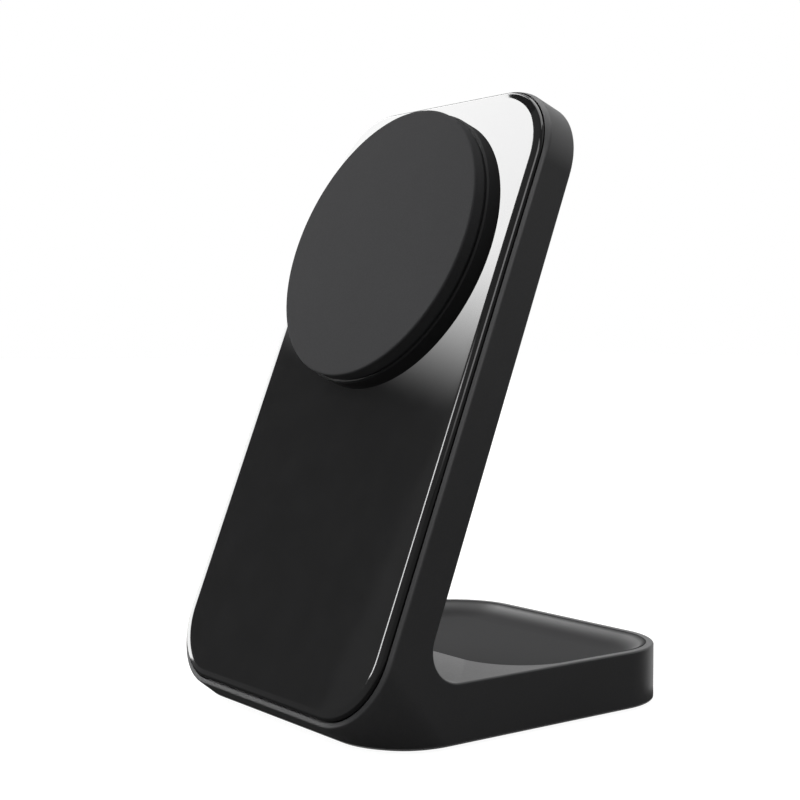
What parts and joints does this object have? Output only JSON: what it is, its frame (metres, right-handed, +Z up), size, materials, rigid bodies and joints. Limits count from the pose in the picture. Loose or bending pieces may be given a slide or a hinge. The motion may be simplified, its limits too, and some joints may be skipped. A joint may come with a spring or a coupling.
{
  "type": "charging stand",
  "caption": "Leaning wireless charging stand: an L-shaped body with a gloss front panel, a round magnetic phone pad and a dished place for an earbud case on its base.",
  "frame": {"origin": "under the middle of the stand, on the surface that the foot pad rests on", "axes": "+X to the stand's right as it faces the user, +Y to the back, +Z up; the pad faces -Y and leans back"},
  "size_m": [0.07, 0.0791, 0.1204],
  "materials": {
    "housing": "fine satin black moulding",
    "panel": "high gloss black",
    "tape": "black foam tape",
    "pad_ring": "satin black moulding",
    "pad_face": "matte soft-touch dark grey",
    "screws": "zinc plated",
    "magnets": "nickel plated",
    "yoke": "bare steel",
    "winding": "varnished copper wire",
    "ferrite": "dark sintered ferrite",
    "lead": "black insulation",
    "dish": "matte soft-touch dark grey",
    "board": "green solder mask",
    "socket": "drawn stainless steel",
    "tongue": "black moulding",
    "chip": "moulded package",
    "inductor": "pressed iron powder",
    "capacitor": "fired ceramic",
    "connector": "natural nylon",
    "ballast": "phosphated steel",
    "base_plate": "fine textured black moulding",
    "foot": "matte black silicone"
  },
  "bodies": {
    "root": {"housing": "housing", "front_panel": "panel", "panel_tape": "tape", "pad_housing": "pad_ring", "pad_face": "pad_face", "pad_screws": "screws", "magnet_ring": "magnets", "magnet_yoke": "yoke", "phone_coil": "winding", "phone_ferrite": "ferrite", "phone_coil_lead": "lead", "earbud_dish": "dish", "earbud_coil": "winding", "earbud_ferrite": "ferrite", "circuit_board": "board", "usb_socket": "socket", "usb_tongue": "tongue", "control_chip": "chip", "power_inductors": "inductor", "capacitors": "capacitor", "lead_connector": "connector", "board_screws": "screws", "ballast_plate": "ballast", "base_plate": "base_plate", "plate_screws": "screws", "foot_pad": "foot"}
  },
  "joints": []
}
